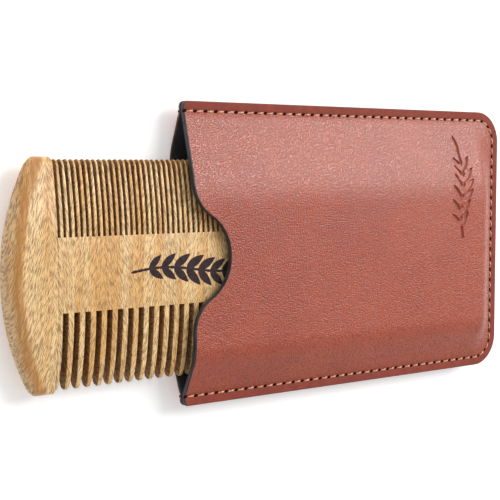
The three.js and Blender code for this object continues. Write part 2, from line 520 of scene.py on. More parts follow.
class Finish:
    """A material, from its empty tree to its shader."""

    def __init__(self, name: str, gloss: Gloss) -> None:
        """Makes the material with a shader and no texture.

        Args:
            name: The material's name.
            gloss: The shader's even numbers.
        """
        self.material = bpy.data.materials.new(name)
        self.material.use_nodes = True
        self.shader = self.material.node_tree.nodes["Principled BSDF"]
        self.sheet = NodeSheet(self.material.node_tree)
        sockets = self.shader.inputs
        sockets["Specular IOR Level"].default_value = gloss.specular
        sockets["Sheen Weight"].default_value = gloss.sheen
        sockets["Sheen Roughness"].default_value = gloss.sheen_roughness
        sockets["Coat Weight"].default_value = gloss.coat
        sockets["Coat Roughness"].default_value = gloss.coat_roughness

    def lay(self, colour: Socket, roughness: Socket, height: Socket, relief: float) -> bpy.types.Material:
        """Links the texture to the shader.

        Args:
            colour: The base colour.
            roughness: The roughness.
            height: The height that the bump follows.
            relief: How deep the bump is, in millimetres.

        Returns:
            The finished material.
        """
        links = self.material.node_tree.links
        links.new(colour, self.shader.inputs["Base Color"])
        links.new(roughness, self.shader.inputs["Roughness"])
        bump = self.sheet.add("Bump", {"Height": height, "Distance": relief * MM, "Strength": 1.0})
        links.new(bump.outputs["Normal"], self.shader.inputs["Normal"])
        return self.material


@dataclass(frozen=True)
class PolishedWood:
    """Hand-polished ribbon-grained wood."""

    name: str
    pale: Colour = (0.88, 0.60, 0.285)
    warm: Colour = (0.78, 0.43, 0.14)
    dark: Colour = (0.25, 0.115, 0.036)
    band: float = 15.0
    figure: float = 0.80
    relief: float = 0.05
    gloss: Gloss = Gloss(specular=0.5, coat=0.3, coat_roughness=0.3)
    height_span: Span = (-0.4, 0.7)
    roughness: Span = (0.56, 0.36)

    def grain(self, finish: Finish, effects: Effects, place: Socket) -> dict[str, Socket]:
        """Places the grain group with this wood's colours.

        Args:
            finish: The material it goes in.
            effects: The shared groups.
            place: The place on the piece, in millimetres.

        Returns:
            The group's outputs.
        """
        values = {"Place": place, "Band": self.band, "Pale": self.pale, "Warm": self.warm, "Dark": self.dark}
        return finish.sheet.use(effects.ribbon_grain, {**values, "Figure": self.figure})

    def tinted(self, sheet: NodeSheet, place: Socket, colour: Socket) -> Socket:
        """Lays broader colouring over the grain's colour. Plain wood has none."""
        return colour

    def built(self, effects: Effects) -> bpy.types.Material:
        """Makes the material.

        Args:
            effects: The shared groups.

        Returns:
            The material.
        """
        finish = Finish(self.name, self.gloss)
        place = finish.sheet.millimetres()
        grain = self.grain(finish, effects, place)
        colour = self.tinted(finish.sheet, place, grain["Color"])
        roughness = finish.sheet.smooth_step(grain["Height"], self.height_span, self.roughness)
        return finish.lay(colour, roughness, grain["Height"], self.relief)


@dataclass(frozen=True)
class BlockWood(PolishedWood):
    """Wood of an end block, with a heartwood band and painted shade on its rim, both following its bowed edge.

    The bowed edge is an arc round (arc_x, arc_y), and insets are distances in from it.
    """

    band: float = 19.0
    arc_x: float = 0.0
    arc_y: float = 0.0
    arc_radius: float = 60.0
    heart: Colour = (0.46, 0.19, 0.036)
    heart_inset: float = 2.1
    heart_span: Span = (0.4, 1.9)
    heart_wander: float = 1.2
    wander_size: Triple = (3.0, 15.0, 9.0)
    streak_size: Triple = (0.7, 12.0, 3.0)
    streak_span: Span = (0.3, 0.62)
    heart_strength: Span = (0.5, 0.95)
    # Painted shade: the rim's colour is darkened towards this within a millimetre of the bowed edge.
    rim: Colour = (0.26, 0.13, 0.042)
    rim_shade_span: Span = (0.2, 1.0)
    rim_shade_strength: float = 0.4

    def tinted(self, sheet: NodeSheet, place: Socket, colour: Socket) -> Socket:
        """Lays the heartwood, and the painted shade on the rim, over the grain's colour.

        Args:
            sheet: The material's nodes.
            place: The place on the piece, in millimetres.
            colour: The grain's colour.

        Returns:
            The colour with both.
        """
        moved = sheet.vector_math("SUBTRACT", place, (self.arc_x, self.arc_y, 0.0)).outputs[0]
        flat = sheet.vector_math("MULTIPLY", moved, (1.0, 1.0, 0.0)).outputs[0]
        reach = sheet.vector_math("LENGTH", flat).outputs["Value"]
        inset = sheet.math("SUBTRACT", self.arc_radius, reach)
        wander = sheet.math("MULTIPLY", sheet.noise(place, self.wander_size), self.heart_wander)
        wandered = sheet.math("ADD", sheet.math("SUBTRACT", inset, wander), self.heart_wander / 2)
        off_band = sheet.math("ABSOLUTE", sheet.math("SUBTRACT", wandered, self.heart_inset))
        streaks = sheet.noise(place, self.streak_size)
        strength = sheet.smooth_step(streaks, self.streak_span, self.heart_strength)
        band = sheet.smooth_step(off_band, self.heart_span, (1.0, 0.0))
        hearted = sheet.mix(sheet.math("MULTIPLY", band, strength), colour, self.heart)
        # Painted shade: the outer millimetre of the rounded rim is darkened towards the rim colour.
        rim_shaded = sheet.smooth_step(inset, self.rim_shade_span, (self.rim_shade_strength, 0.0))
        return sheet.mix(rim_shaded, hearted, self.rim)


@dataclass(frozen=True)
class SawnWoodAndShade(PolishedWood):
    """The walls of the tooth gaps, browned by the saw and left unpolished, and darker still with painted shade for
    the gaps.
    """

    # Darker than the polished wood: partly the saw's browning, partly painted shade in the tooth gaps.
    pale: Colour = (0.36, 0.20, 0.075)
    warm: Colour = (0.30, 0.135, 0.042)
    dark: Colour = (0.06, 0.027, 0.010)
    figure: float = 0.6
    gloss: Gloss = Gloss(specular=0.25)
    saw_line_size: Triple = (5.0, 0.35, 5.0)
    saw_line_span: Span = (0.3, 0.7)
    roughness: Span = (0.62, 0.82)

    def built(self, effects: Effects) -> bpy.types.Material:
        """Makes the material.

        Args:
            effects: The shared groups.

        Returns:
            The material.
        """
        finish = Finish(self.name, self.gloss)
        sheet = finish.sheet
        place = sheet.millimetres()
        grain = self.grain(finish, effects, place)
        saw_lines = sheet.noise(place, self.saw_line_size, detail=1.0)
        height = sheet.math("ADD", grain["Height"], saw_lines)
        roughness = sheet.smooth_step(saw_lines, self.saw_line_span, self.roughness)
        return finish.lay(grain["Color"], roughness, height, self.relief)


@dataclass(frozen=True)
class GrainLeather:
    """Smooth leather with a fine embossed pebble whose creases hold painted shade, darker and rougher outside its
    stitching.
    """

    name: str
    mouth: float
    length: float
    half_width: float
    corner: float
    gloss: Gloss = Gloss(specular=0.75, sheen=0.03, sheen_roughness=0.4)
    low: Colour = (0.34, 0.042, 0.008)
    high: Colour = (0.405, 0.058, 0.013)
    patch: float = 21.0
    pebble: float = 0.40
    relief: float = 0.065
    # Painted shade: the pebble grain's creases are darkened towards this colour.
    crease: Colour = (0.18, 0.022, 0.005)
    crease_shade_strength: float = 0.8
    roughness: Span = (0.25, 0.40)
    # The strip outside the stitching is darkened towards this colour, less in some patches.
    border: Colour = (0.185, 0.019, 0.006)
    border_span: Span = (2.1, 2.65)
    border_roughness: float = 0.85
    border_smoothing: float = 0.6
    border_mottle_size: Triple = (2.4, 2.4, 2.4)
    border_mottle_span: Span = (0.3, 0.75)
    border_mottle_strength: Span = (1.0, 0.6)
    overrun: float = 60.0
    height_limit: float = 1000.0

    def inset(self, sheet: NodeSheet, place: Socket) -> Socket:
        """Measures the distance in from the sleeve's sewn outline, with its rounded corners.

        The outline is a box that overruns the mouth, so that the mouth doesn't count as an edge.

        Args:
            sheet: The material's nodes.
            place: The place on the piece, in millimetres.

        Returns:
            The distance, in millimetres.
        """
        half_length = (self.length + self.overrun) / 2
        middle = self.mouth + self.length - half_length
        moved = sheet.vector_math("SUBTRACT", place, (middle, 0.0, 0.0)).outputs[0]
        folded = sheet.vector_math("ABSOLUTE", moved).outputs[0]
        core = (half_length - self.corner, self.half_width - self.corner, self.height_limit)
        past = sheet.vector_math("SUBTRACT", folded, core).outputs[0]
        outside = sheet.vector_math("MAXIMUM", past, (0.0, 0.0, 0.0)).outputs[0]
        beyond = sheet.vector_math("LENGTH", outside).outputs["Value"]
        split = sheet.add("SeparateXYZ", {0: past})
        nearer = sheet.math("MAXIMUM", split.outputs["X"], split.outputs["Y"])
        within = sheet.math("MINIMUM", nearer, 0.0)
        return sheet.math("SUBTRACT", self.corner, sheet.math("ADD", beyond, within))

    def built(self, effects: Effects) -> bpy.types.Material:
        """Makes the material.

        Args:
            effects: The shared groups.

        Returns:
            The material.
        """
        finish = Finish(self.name, self.gloss)
        sheet = finish.sheet
        place = sheet.millimetres()
        tones = {"Place": place, "Patch": self.patch, "Low": self.low, "High": self.high}
        hide = sheet.use(effects.mottle, tones)
        pebbles = sheet.use(effects.pebble, {"Place": place, "Pebble": self.pebble})
        # Painted shade in the creases of the pebble grain.
        crease_shaded = sheet.math("MULTIPLY", pebbles["Crease"], self.crease_shade_strength)
        plain = sheet.mix(crease_shaded, hide["Color"], self.crease)
        # Darker, rougher colour in the strip outside the stitching, in uneven patches.
        outside_stitching = sheet.smooth_step(self.inset(sheet, place), self.border_span, (1.0, 0.0))
        mottled_border = sheet.smooth_step(sheet.noise(place, self.border_mottle_size), self.border_mottle_span, self.border_mottle_strength)
        colour = sheet.mix(sheet.math("MULTIPLY", outside_stitching, mottled_border), plain, self.border)
        grained = sheet.smooth_step(pebbles["Crease"], (0.0, 1.0), self.roughness)
        dulled = sheet.math("MULTIPLY", outside_stitching, self.border_roughness)
        roughness = sheet.math("MAXIMUM", grained, dulled)
        kept = sheet.math("SUBTRACT", 1.0, sheet.math("MULTIPLY", outside_stitching, self.border_smoothing))
        return finish.lay(colour, roughness, sheet.math("MULTIPLY", pebbles["Height"], kept), self.relief)


@dataclass(frozen=True)
class Fibres:
    """Fine fibres in a surface. Where they roughen it, its roughness follows them over the span."""

    size: Triple
    turn: float = 0.0
    detail: float = 2.0
    roughens: bool = True
    span: Span = (0.3, 0.7)


@dataclass(frozen=True)
class MottledFinish:
    """A surface of two mottled colours, uneven with them or with fibres, that may glow a little."""

    name: str
    gloss: Gloss
    low: Colour
    high: Colour
    patch: float
    roughness: Span
    relief: float
    fibres: Fibres | None = None
    glow: float = 0.0

    def built(self, effects: Effects) -> bpy.types.Material:
        """Makes the material.

        Args:
            effects: The shared groups.

        Returns:
            The material.
        """
        finish = Finish(self.name, self.gloss)
        finish.shader.inputs["Emission Color"].default_value = (1.0, 1.0, 1.0, 1.0)
        finish.shader.inputs["Emission Strength"].default_value = self.glow
        sheet = finish.sheet
        place = sheet.millimetres()
        tones = {"Place": place, "Patch": self.patch, "Low": self.low, "High": self.high}
        patches = sheet.use(effects.mottle, tones)
        height = patches["Value"]
        uneven = sheet.smooth_step(height, (0.0, 1.0), self.roughness)
        if self.fibres:
            height = sheet.noise(place, self.fibres.size, self.fibres.turn, self.fibres.detail)
            if self.fibres.roughens:
                uneven = sheet.smooth_step(height, self.fibres.span, self.roughness)
        return finish.lay(patches["Color"], uneven, height, self.relief)


@dataclass(frozen=True)
class BurntWood(MottledFinish):
    """Wood charred by a hot stamp."""

    name: str = "burnt_wood"
    gloss: Gloss = Gloss(specular=0.25)
    low: Colour = (0.016, 0.009, 0.012)
    high: Colour = (0.050, 0.026, 0.030)
    patch: float = 0.9
    roughness: Span = (0.7, 0.9)
    relief: float = 0.04
    fibres: Fibres = Fibres((0.12, 1.6, 0.5), roughens=False)


@dataclass(frozen=True)
class EdgePaint(MottledFinish):
    """The coat of dark paint on the leather's cut edges, a little uneven from the dauber."""

    name: str = "edge_paint"
    gloss: Gloss = Gloss(specular=0.5)
    low: Colour = (0.016, 0.014, 0.016)
    high: Colour = (0.034, 0.030, 0.033)
    patch: float = 1.6
    roughness: Span = (0.36, 0.52)
    relief: float = 0.05


@dataclass(frozen=True)
class NeedleHoleShade(MottledFinish):
    """Painted shade: the dark inside of a needle hole, where shade falls."""

    name: str = "needle_hole_shade"
    gloss: Gloss = Gloss(specular=0.05)
    low: Colour = (0.006, 0.003, 0.002)
    high: Colour = (0.022, 0.009, 0.006)
    patch: float = 0.6
    roughness: Span = (0.85, 1.0)
    relief: float = 0.05


@dataclass(frozen=True)
class Suede(MottledFinish):
    """Charcoal suede lining, with its nap."""

    name: str = "suede_lining"
    gloss: Gloss = Gloss(specular=0.2, sheen=0.25, sheen_roughness=0.6)
    low: Colour = (0.007, 0.007, 0.008)
    high: Colour = (0.020, 0.020, 0.022)
    patch: float = 4.0
    roughness: Span = (0.85, 1.0)
    relief: float = 0.08
    fibres: Fibres = Fibres((0.12, 0.2, 0.15), turn=0.4, detail=4.0)


@dataclass(frozen=True)
class WaxedThread(MottledFinish):
    """Waxed sewing thread."""

    name: str = "waxed_thread"
    gloss: Gloss = Gloss(specular=0.4, sheen=0.15)
    low: Colour = (0.52, 0.23, 0.13)
    high: Colour = (0.86, 0.47, 0.31)
    patch: float = 0.7
    roughness: Span = (0.45, 0.65)
    relief: float = 0.02
    fibres: Fibres = Fibres((0.05, 0.05, 0.05), detail=1.0)


@dataclass(frozen=True)
class PaleFloor(MottledFinish):
    """The plain pale surface that the comb and sleeve lie on."""

    name: str = "pale_floor"
    gloss: Gloss = Gloss(specular=0.3)
    low: Colour = (0.90, 0.90, 0.90)
    high: Colour = (0.93, 0.93, 0.93)
    patch: float = 60.0
    roughness: Span = (0.45, 0.5)
    relief: float = 0.01
    glow: float = 0.25


# ------------------------------------------------------------------------------------------------ ornament


@dataclass(frozen=True)
class Leaf:
    """A pointed leaf: its foot, its direction in radians, and its size in millimetres."""

    x: float
    y: float
    heading: float
    length: float
    width: float
    steps: int = 9
    fullness: float = 0.85

    def half_width(self, shares: np.ndarray) -> np.ndarray:
        """Gives half the leaf's width at shares of its length."""
        return self.width / 2 * np.sin(np.pi * shares**self.fullness) ** self.fullness

    def outline(self) -> list[tuple[float, float]]:
        """Lists the points round the leaf.

        Returns:
            The points, from the foot to the tip and back.
        """
        shares = np.linspace(0.0, 1.0, self.steps)
        half = self.half_width(shares)
        along = np.concatenate([shares, shares[-2:0:-1]]) * self.length
        aside = np.concatenate([half, -half[-2:0:-1]])
        cos, sin = math.cos(self.heading), math.sin(self.heading)
        return [(self.x + a * cos - b * sin, self.y + a * sin + b * cos) for a, b in zip(along, aside)]

    def cover(self, x: np.ndarray, y: np.ndarray, soft: float) -> np.ndarray:
        """Says how far points lie inside the leaf.

        Args:
            x: Their places along X.
            y: Their places along Y.
            soft: The width of the sloping edge.

        Returns:
            1 inside, 0 outside, and between the two over the edge.
        """
        cos, sin = math.cos(self.heading), math.sin(self.heading)
        along = ((x - self.x) * cos + (y - self.y) * sin) / self.length
        aside = np.abs((y - self.y) * cos - (x - self.x) * sin)
        half = self.half_width(np.clip(along, 0.0, 1.0))
        return np.clip((half - aside) / soft + 0.5, 0.0, 1.0) * (along > 0.0) * (along < 1.0)


@dataclass(frozen=True)
class Sprig:
    """A plain sprig of paired leaves on a gently curved stem, centred on a point.

    Shares are of the way along the stem. Leaves are at their full size at the fullest share, and dwindle from it.
    """

    x: float
    y: float
    heading: float
    length: float
    pairs: int
    leaf_length: float
    leaf_width: float
    stem_width: float
    bend: float
    spread: float = math.radians(38)
    stem_steps: int = 25
    stem_overlap: float = 1.7
    first_pair: float = 0.14
    pairs_reach: float = 0.78
    fullest: float = 0.45
    dwindling: float = 0.35
    tip_share: float = 0.985
    tip_size: float = 0.8

    def stem_point(self, share: float) -> tuple[float, float, float]:
        """Finds a point on the stem.

        Args:
            share: How far along it is, from 0 at the foot to 1 at the last leaf.

        Returns:
            Its X, its Y and the stem's direction there.
        """
        along = (share - 0.5) * self.length
        aside = self.bend * math.sin(math.tau * share)
        slope = math.atan2(self.bend * math.tau * math.cos(math.tau * share), self.length)
        cos, sin = math.cos(self.heading), math.sin(self.heading)
        return self.x + along * cos - aside * sin, self.y + along * sin + aside * cos, self.heading + slope

    def leaves(self) -> list[Leaf]:
        """Lists the leaves, after the short straight lengths of the stem.

        Returns:
            The lengths of stem as slim leaves, the paired leaves, and the one at the tip.
        """
        made = []
        joints = [self.stem_point(share) for share in np.linspace(0.0, 1.0, self.stem_steps)]
        for (x0, y0, _), (x1, y1, _) in zip(joints, joints[1:]):
            reach = math.hypot(x1 - x0, y1 - y0)
            made.append(Leaf(x0, y0, math.atan2(y1 - y0, x1 - x0), reach * self.stem_overlap, self.stem_width))
        for i in range(self.pairs):
            share = self.first_pair + self.pairs_reach * i / self.pairs
            x, y, heading = self.stem_point(share)
            size = 1.0 - self.dwindling * abs(2.0 * share - 2.0 * self.fullest)
            for turn in (self.spread, -self.spread):
                made.append(Leaf(x, y, heading + turn, self.leaf_length * size, self.leaf_width * size))
        x, y, heading = self.stem_point(self.tip_share)
        made.append(Leaf(x, y, heading, self.leaf_length * self.tip_size, self.leaf_width * self.tip_size))
        return made

    def cover(self, x: np.ndarray, y: np.ndarray, soft: float) -> np.ndarray:
        """Says how far points lie inside the sprig.

        Args:
            x: Their places along X.
            y: Their places along Y.
            soft: The width of the sloping edge.

        Returns:
            1 inside, 0 outside, and between the two over the edge.
        """
        return np.max([leaf.cover(x, y, soft) for leaf in self.leaves()], axis=0)


# ------------------------------------------------------------------------------------------------ comb


@dataclass(frozen=True)
class CombSection:
    """How thick the comb is across its width: level over the spine, then thinner towards the tips."""

    half_width: float
    spine_half_thickness: float
    tip_half_thickness: float = 1.5
    spine_reach: float = 9.1
    thinning: float = 1.5

    def half_thickness(self, across: float) -> float:
        """Gives half the comb's thickness at a place across it.

        Args:
            across: The distance from the long axis.

        Returns:
            Half the thickness, in millimetres.
        """
        past = max(0.0, abs(across) - self.spine_reach) / (self.half_width - self.spine_reach)
        lost = (self.spine_half_thickness - self.tip_half_thickness) * past**self.thinning
        return self.spine_half_thickness - lost


@dataclass(frozen=True)
class ToothRow:
    """One row of teeth. side is 1 for +Y and -1 for -Y; root and tip are distances from the long axis.

    taper is how far from its tip a tooth starts to narrow, and point is how far from it the tooth starts to
    thin, down to point_half either side of its middle.
    """

    side: int
    teeth: int
    strip: float
    gap: float
    root: float
    tip: float
    tip_width: float
    taper: float
    point: float
    point_half: float
    shaft_steps: int = 6
    point_steps: int = 9
    point_crowding: float = 1.8
    taper_bow: float = 0.8
    tip_roundness: float = 0.8

    def stations(self) -> np.ndarray:
        """Lists the places along a tooth where its section is set.

        Returns:
            Their distances from its tip, from the root on.
        """
        shaft = np.linspace(self.tip - self.root, self.point, self.shaft_steps)
        shares = np.linspace(1.0, 0.0, self.point_steps)[1:]
        return np.concatenate([shaft, self.point * shares**self.point_crowding])

    def half_width(self, full: float, tip_width: float, from_tip: np.ndarray) -> np.ndarray:
        """Gives half a tooth's width along it.

        Args:
            full: Half its width at the root.
            tip_width: Its width just before its rounded tip.
            from_tip: Distances from its tip.

        Returns:
            Half its width at each.
        """
        grown = np.clip(from_tip / self.taper, 0.0, 1.0) ** self.taper_bow
        narrowed = tip_width / 2 + (full - tip_width / 2) * grown
        return narrowed * rounded(from_tip, tip_width * self.tip_roundness)


@dataclass
class Finger:
    """A tooth, or the strip beside the first gap: its two sides and its thickness, from root to tip."""

    first_side: np.ndarray
    second_side: np.ndarray
    across: np.ndarray
    half_thickness: np.ndarray
    first_rounding: np.ndarray
    second_rounding: np.ndarray


@dataclass
class CentreBoard:
    """The comb's middle: its spine and both rows of teeth, sawn from one board."""

    section: CombSection
    half_length: float
    centre: Vector
    rows: tuple[ToothRow, ToothRow]
    rounding: float = 0.17
    most_of_width: float = 0.42
    most_of_thickness: float = 0.5
    glue_rounding: float = 0.05
    strip_tip: float = 1.5
    least_strip: float = 0.25
    turns: tuple[float, ...] = (90.0, 45.0, 0.0)
    least_mitre: float = 0.35
    least_edge: float = 1e-9

    def finger(self, row: ToothRow, first: np.ndarray, second: np.ndarray, strip: bool) -> Finger:
        """Makes a finger from its two sides.

        Args:
            row: The row that it stands in.
            first: The side met first on the way round the board, as places along X.
            second: The other side.
            strip: Whether it is the strip beside the first gap.

        Returns:
            The finger.
        """
        from_tip = row.stations()
        across = row.tip - from_tip
        thickness = np.array([self.section.half_thickness(y) for y in across])
        if strip:
            thickness = thickness * rounded(from_tip, self.strip_tip)
        else:
            thinned = row.point_half + (thickness - row.point_half) * rounded(from_tip, row.point)
            thickness = thinned * rounded(from_tip, row.point_half)
        fitting = np.minimum(self.most_of_width * np.abs(second - first), self.most_of_thickness * thickness)
        rounding = np.minimum(self.rounding, fitting)
        glued = np.minimum(self.glue_rounding, rounding)
        outer_first = strip and abs(first[0]) > abs(second[0])
        outer_second = strip and not outer_first
        roundings = (glued if outer_first else rounding, glued if outer_second else rounding)
        return Finger(first, second, across * row.side, thickness, *roundings)

    def fingers(self, row: ToothRow) -> list[Finger]:
        """Makes a row's teeth, and the strips beside its end gaps.

        Args:
            row: The row.

        Returns:
            Its fingers, in the order met going anticlockwise round the board.
        """
        way = -row.side
        from_tip = row.stations()
        start = self.half_length - row.strip
        width = (2 * start - row.gap * (row.teeth + 1)) / row.teeth
        half = row.half_width(width / 2, row.tip_width, from_tip)
        made = []
        for i in range(row.teeth):
            middle = way * (-start + row.gap + width / 2 + i * (width + row.gap))
            made.append(self.finger(row, middle - way * half, middle + way * half, False))
        if row.strip > 0:
            outer = np.full_like(from_tip, self.half_length)
            slim = row.half_width(row.strip, row.strip, from_tip)
            inner = outer - np.maximum(slim, self.least_strip * row.strip)
            made.insert(0, self.finger(row, -way * outer, -way * inner, True))
            made.append(self.finger(row, way * inner, way * outer, True))
        return made

    def build(self, materials: Sequence[bpy.types.Material]) -> bpy.types.Object:
        """Builds the board as rings that follow its toothed outline, with the faces laid between them.

        Args:
            materials: The polished wood, and the sawn wood with painted shade for the gap walls.

        Returns:
            The board.
        """
        draft = MeshDraft()
        flat: list[tuple[float, float, float, float]] = []
        spans: list[tuple[list[int], list[int]]] = []
        roots: list[int] = []
        for row in sorted(self.rows, key=lambda each: each.side):
            way = -row.side
            corner = (row.side * row.root, self.section.spine_half_thickness, self.glue_rounding)
            if row.strip <= 0:
                roots.append(len(flat))
                flat.append((-way * self.half_length, *corner))
            for part in self.fingers(row):
                first = list(range(len(flat), len(flat) + len(part.across)))
                flat.extend(zip(part.first_side, part.across, part.half_thickness, part.first_rounding))
                shared = abs(part.first_side[-1] - part.second_side[-1]) < MeshDraft.MERGE / MM
                kept = slice(None, -1) if shared else slice(None)
                back = list(range(len(flat), len(flat) + len(part.across[kept])))[::-1]
                sides = (part.second_side, part.across, part.half_thickness, part.second_rounding)
                flat.extend(zip(*[values[kept][::-1] for values in sides]))
                spans.append((first, back + [first[-1]] if shared else back))
                roots.extend((first[0], back[0]))
            if row.strip <= 0:
                roots.append(len(flat))
                flat.append((way * self.half_length, *corner))
        outline = np.array(flat)
        outward = self.outward(outline[:, :2])
        rings = []
        for face in (1.0, -1.0):
            for turn in self.turns if face > 0 else self.turns[::-1]:
                cos, sin = math.cos(math.radians(turn)), math.sin(math.radians(turn))
                inset = outline[:, 3:4] * (1.0 - cos)
                placed = outline[:, :2] - outward * inset
                height = face * (outline[:, 2] - outline[:, 3] * (1.0 - sin))
                rings.append(draft.ring(np.column_stack([placed, height]) + np.array(self.centre)))
        middle = len(self.turns) - 1
        # The middle band, the board's side walls, takes the sawn wood with its painted shade.
        for i, (low, high) in enumerate(zip(rings, rings[1:])):
            draft.loft([low, high], finish=1 if i == middle else 0)
        for ring in (rings[0], rings[-1]):
            for first, second in spans:
                for i in range(len(first) - 1):
                    draft.face([ring[first[i]], ring[first[i + 1]], ring[second[i + 1]], ring[second[i]]])
            draft.face([ring[i] for i in roots])
        piece = Piece("centre_board", Body.COMB, Slot.WOOD, ("comb_centre_board",))
        return draft.build(piece, materials)

    def outward(self, outline: np.ndarray) -> np.ndarray:
        """Finds the way out at each corner of an outline, long enough to keep its sides parallel.

        Args:
            outline: Its corners, anticlockwise.

        Returns:
            A vector for each corner.
        """
        edges = np.roll(outline, -1, axis=0) - outline
        lengths = np.maximum(np.linalg.norm(edges, axis=1, keepdims=True), self.least_edge)
        normals = np.column_stack([edges[:, 1], -edges[:, 0]]) / lengths
        before = np.roll(normals, 1, axis=0)
        together = np.maximum(1.0 + np.sum(normals * before, axis=1, keepdims=True), self.least_mitre)
        return (normals + before) / together


@dataclass
class EndBlock:
    """The guard glued to an end of the centre board. way is -1 for the outer one and 1 for the inner one."""

    piece: Piece
    section: CombSection
    centre: Vector
    way: int
    inner_reach: float
    outer_reach: float
    arc_rise: float = 6.5
    rim: float = 3.7
    rim_steps: int = 12
    rim_fullness: float = 0.9
    least_flat: float = 1.0
    flat_shares: tuple[float, ...] = (0.25, 0.5, 0.75, 1.0)
    tip: float = 1.5
    corner: float = 2.6
    corner_retreat: float = 1.3
    corner_steps: int = 12
    corner_crowding: float = 1.7
    middle_steps: int = 38
    fine_corner: float = 1.6
    fine_retreat: float = 0.65
    glue_rounding: float = 0.05

    @property
    def arc_radius(self) -> float:
        """The radius of the bowed edge."""
        half = self.section.half_width
        return (half**2 + self.arc_rise**2) / (2 * self.arc_rise)

    @property
    def arc_x(self) -> float:
        """Where the bowed edge's centre lies along X, in the part's frame."""
        return self.centre.x + self.way * (self.outer_reach - self.arc_radius)

    def loop(self, across: float) -> list[tuple[float, float, float]]:
        """Lists the points round the block at one place across the comb.

        Args:
            across: The distance from the long axis.

        Returns:
            The points, from the glued face's front edge outwards and back.
        """
        from_tip = self.section.half_width - abs(across)
        height = self.section.half_thickness(across) * float(rounded(from_tip, self.tip))
        bow = math.sqrt(self.arc_radius**2 - across**2) - self.arc_radius
        retreat = self.corner_retreat * (1.0 - float(rounded(from_tip, self.corner)))
        outer = self.outer_reach + bow - retreat
        inner = self.inner_reach
        if across > 0:
            inner += self.fine_retreat * (1.0 - float(rounded(from_tip, self.fine_corner)))
        ease = min(self.glue_rounding, height / 2)
        rim = min(self.rim, outer - inner - self.least_flat)
        front = [(inner, height - ease), (inner + ease, height)]
        flat = outer - rim - inner - ease
        front += [(inner + ease + share * flat, height) for share in self.flat_shares]
        for turn in np.linspace(0.0, math.pi / 2, self.rim_steps)[1:]:
            front.append((outer - rim * (1.0 - math.sin(turn)), height * math.cos(turn) ** self.rim_fullness))
        both = front + [(x, -z) for x, z in front[-2::-1]]
        return [(self.centre.x + self.way * x, self.centre.y + across, self.centre.z + z) for x, z in both]

    def build(self, material: bpy.types.Material) -> bpy.types.Object:
        """Builds the block.

        Args:
            material: Its wood.

        Returns:
            The block.
        """
        half = self.section.half_width
        ends = half - self.corner * np.linspace(0.0, 1.0, self.corner_steps) ** self.corner_crowding
        middle = np.linspace(ends[-1], -ends[-1], self.middle_steps)[1:-1]
        draft = MeshDraft()
        draft.loft([draft.ring(self.loop(across)) for across in [*ends, *middle, *-ends[::-1]]])
        return draft.build(self.piece, [material])


@dataclass
class BurntSprig:
    """A sprig burnt into the middle of the spine's face with a hot stamp.

    Each leaf's skin is a little higher than the last one's, so that no two lie in one plane.
    """

    sprig: Sprig
    face_height: float
    name: str
    side: int
    skin: float = 0.012
    lift_step: float = 0.02

    def build(self, material: bpy.types.Material) -> bpy.types.Object:
        """Builds the charred skin of every leaf.

        Args:
            material: The burnt wood.

        Returns:
            The mark.
        """
        draft = MeshDraft()
        for i, leaf in enumerate(self.sprig.leaves()):
            outline = leaf.outline()
            lift = self.skin * (1.0 + self.lift_step * i)
            low = draft.ring((x, y, self.face_height - self.side * self.skin) for x, y in outline)
            high = draft.ring((x, y, self.face_height + self.side * lift) for x, y in outline)
            draft.loft([low, high])
            draft.face(low)
            draft.face(high)
        return draft.build(Piece(self.name, Body.COMB, Slot.WOOD), [material])


@dataclass
class BeardComb:
    """The comb: centre board, two end blocks and the burnt sprigs."""

    effects: Effects
    fine: ToothRow = ToothRow(
        side=1,
        teeth=51,
        strip=0.0,
        gap=0.68,
        root=9.08,
        tip=27.1,
        tip_width=0.46,
        taper=6.5,
        point=1.9,
        point_half=0.55,
    )
    coarse: ToothRow = ToothRow(
        side=-1,
        teeth=25,
        strip=1.1,
        gap=1.45,
        root=8.47,
        tip=27.05,
        tip_width=0.95,
        taper=7.0,
        point=5.2,
        point_half=0.62,
    )
    mark: Sprig = Sprig(
        x=-0.6,
        y=0.0,
        heading=0.0,
        length=36.5,
        pairs=8,
        leaf_length=6.2,
        leaf_width=2.3,
        stem_width=0.75,
        bend=0.9,
    )

    def build(self) -> None:
        """Builds every piece of the comb where the CAD has it."""
        low, high = node_box("comb_centre_board", "outer_end_block", "inner_end_block")
        block_low, block_high = node_box("outer_end_block")
        board_low, board_high = node_box("comb_centre_board")
        centre = Vector(((low.x + high.x) / 2, (block_low.y + block_high.y) / 2, (low.z + high.z) / 2))
        section = CombSection((block_high.y - block_low.y) / 2, (high.z - low.z) / 2)
        board = CentreBoard(section, (board_high.x - board_low.x) / 2, centre, (self.coarse, self.fine))
        polished = PolishedWood("polished_wood").built(self.effects)
        # The side walls' wood, darker partly from the saw and partly as painted shade.
        sawn = SawnWoodAndShade("sawn_wood_and_shade").built(self.effects)
        board.build([polished, sawn])
        for name, way in (("outer_end_block", -1), ("inner_end_block", 1)):
            piece = Piece(name.replace("end", "guard"), Body.COMB, Slot.WOOD, (name,))
            block = EndBlock(piece, section, centre, way, centre.x - block_high.x, (high.x - low.x) / 2)
            arc = {"arc_x": block.arc_x, "arc_y": centre.y, "arc_radius": block.arc_radius}
            block.build(BlockWood(f"{name}_wood", **arc).built(self.effects))
        burnt = BurntWood().built(self.effects)
        for name, side in (("front_burnt_sprig", 1), ("back_burnt_sprig", -1)):
            middle = {"x": centre.x + self.mark.x, "y": centre.y + self.mark.y}
            sprig = replace(self.mark, **middle, bend=self.mark.bend * side)
            BurntSprig(sprig, centre.z + side * section.spine_half_thickness, name, side).build(burnt)


# ------------------------------------------------------------------------------------------------ sleeve


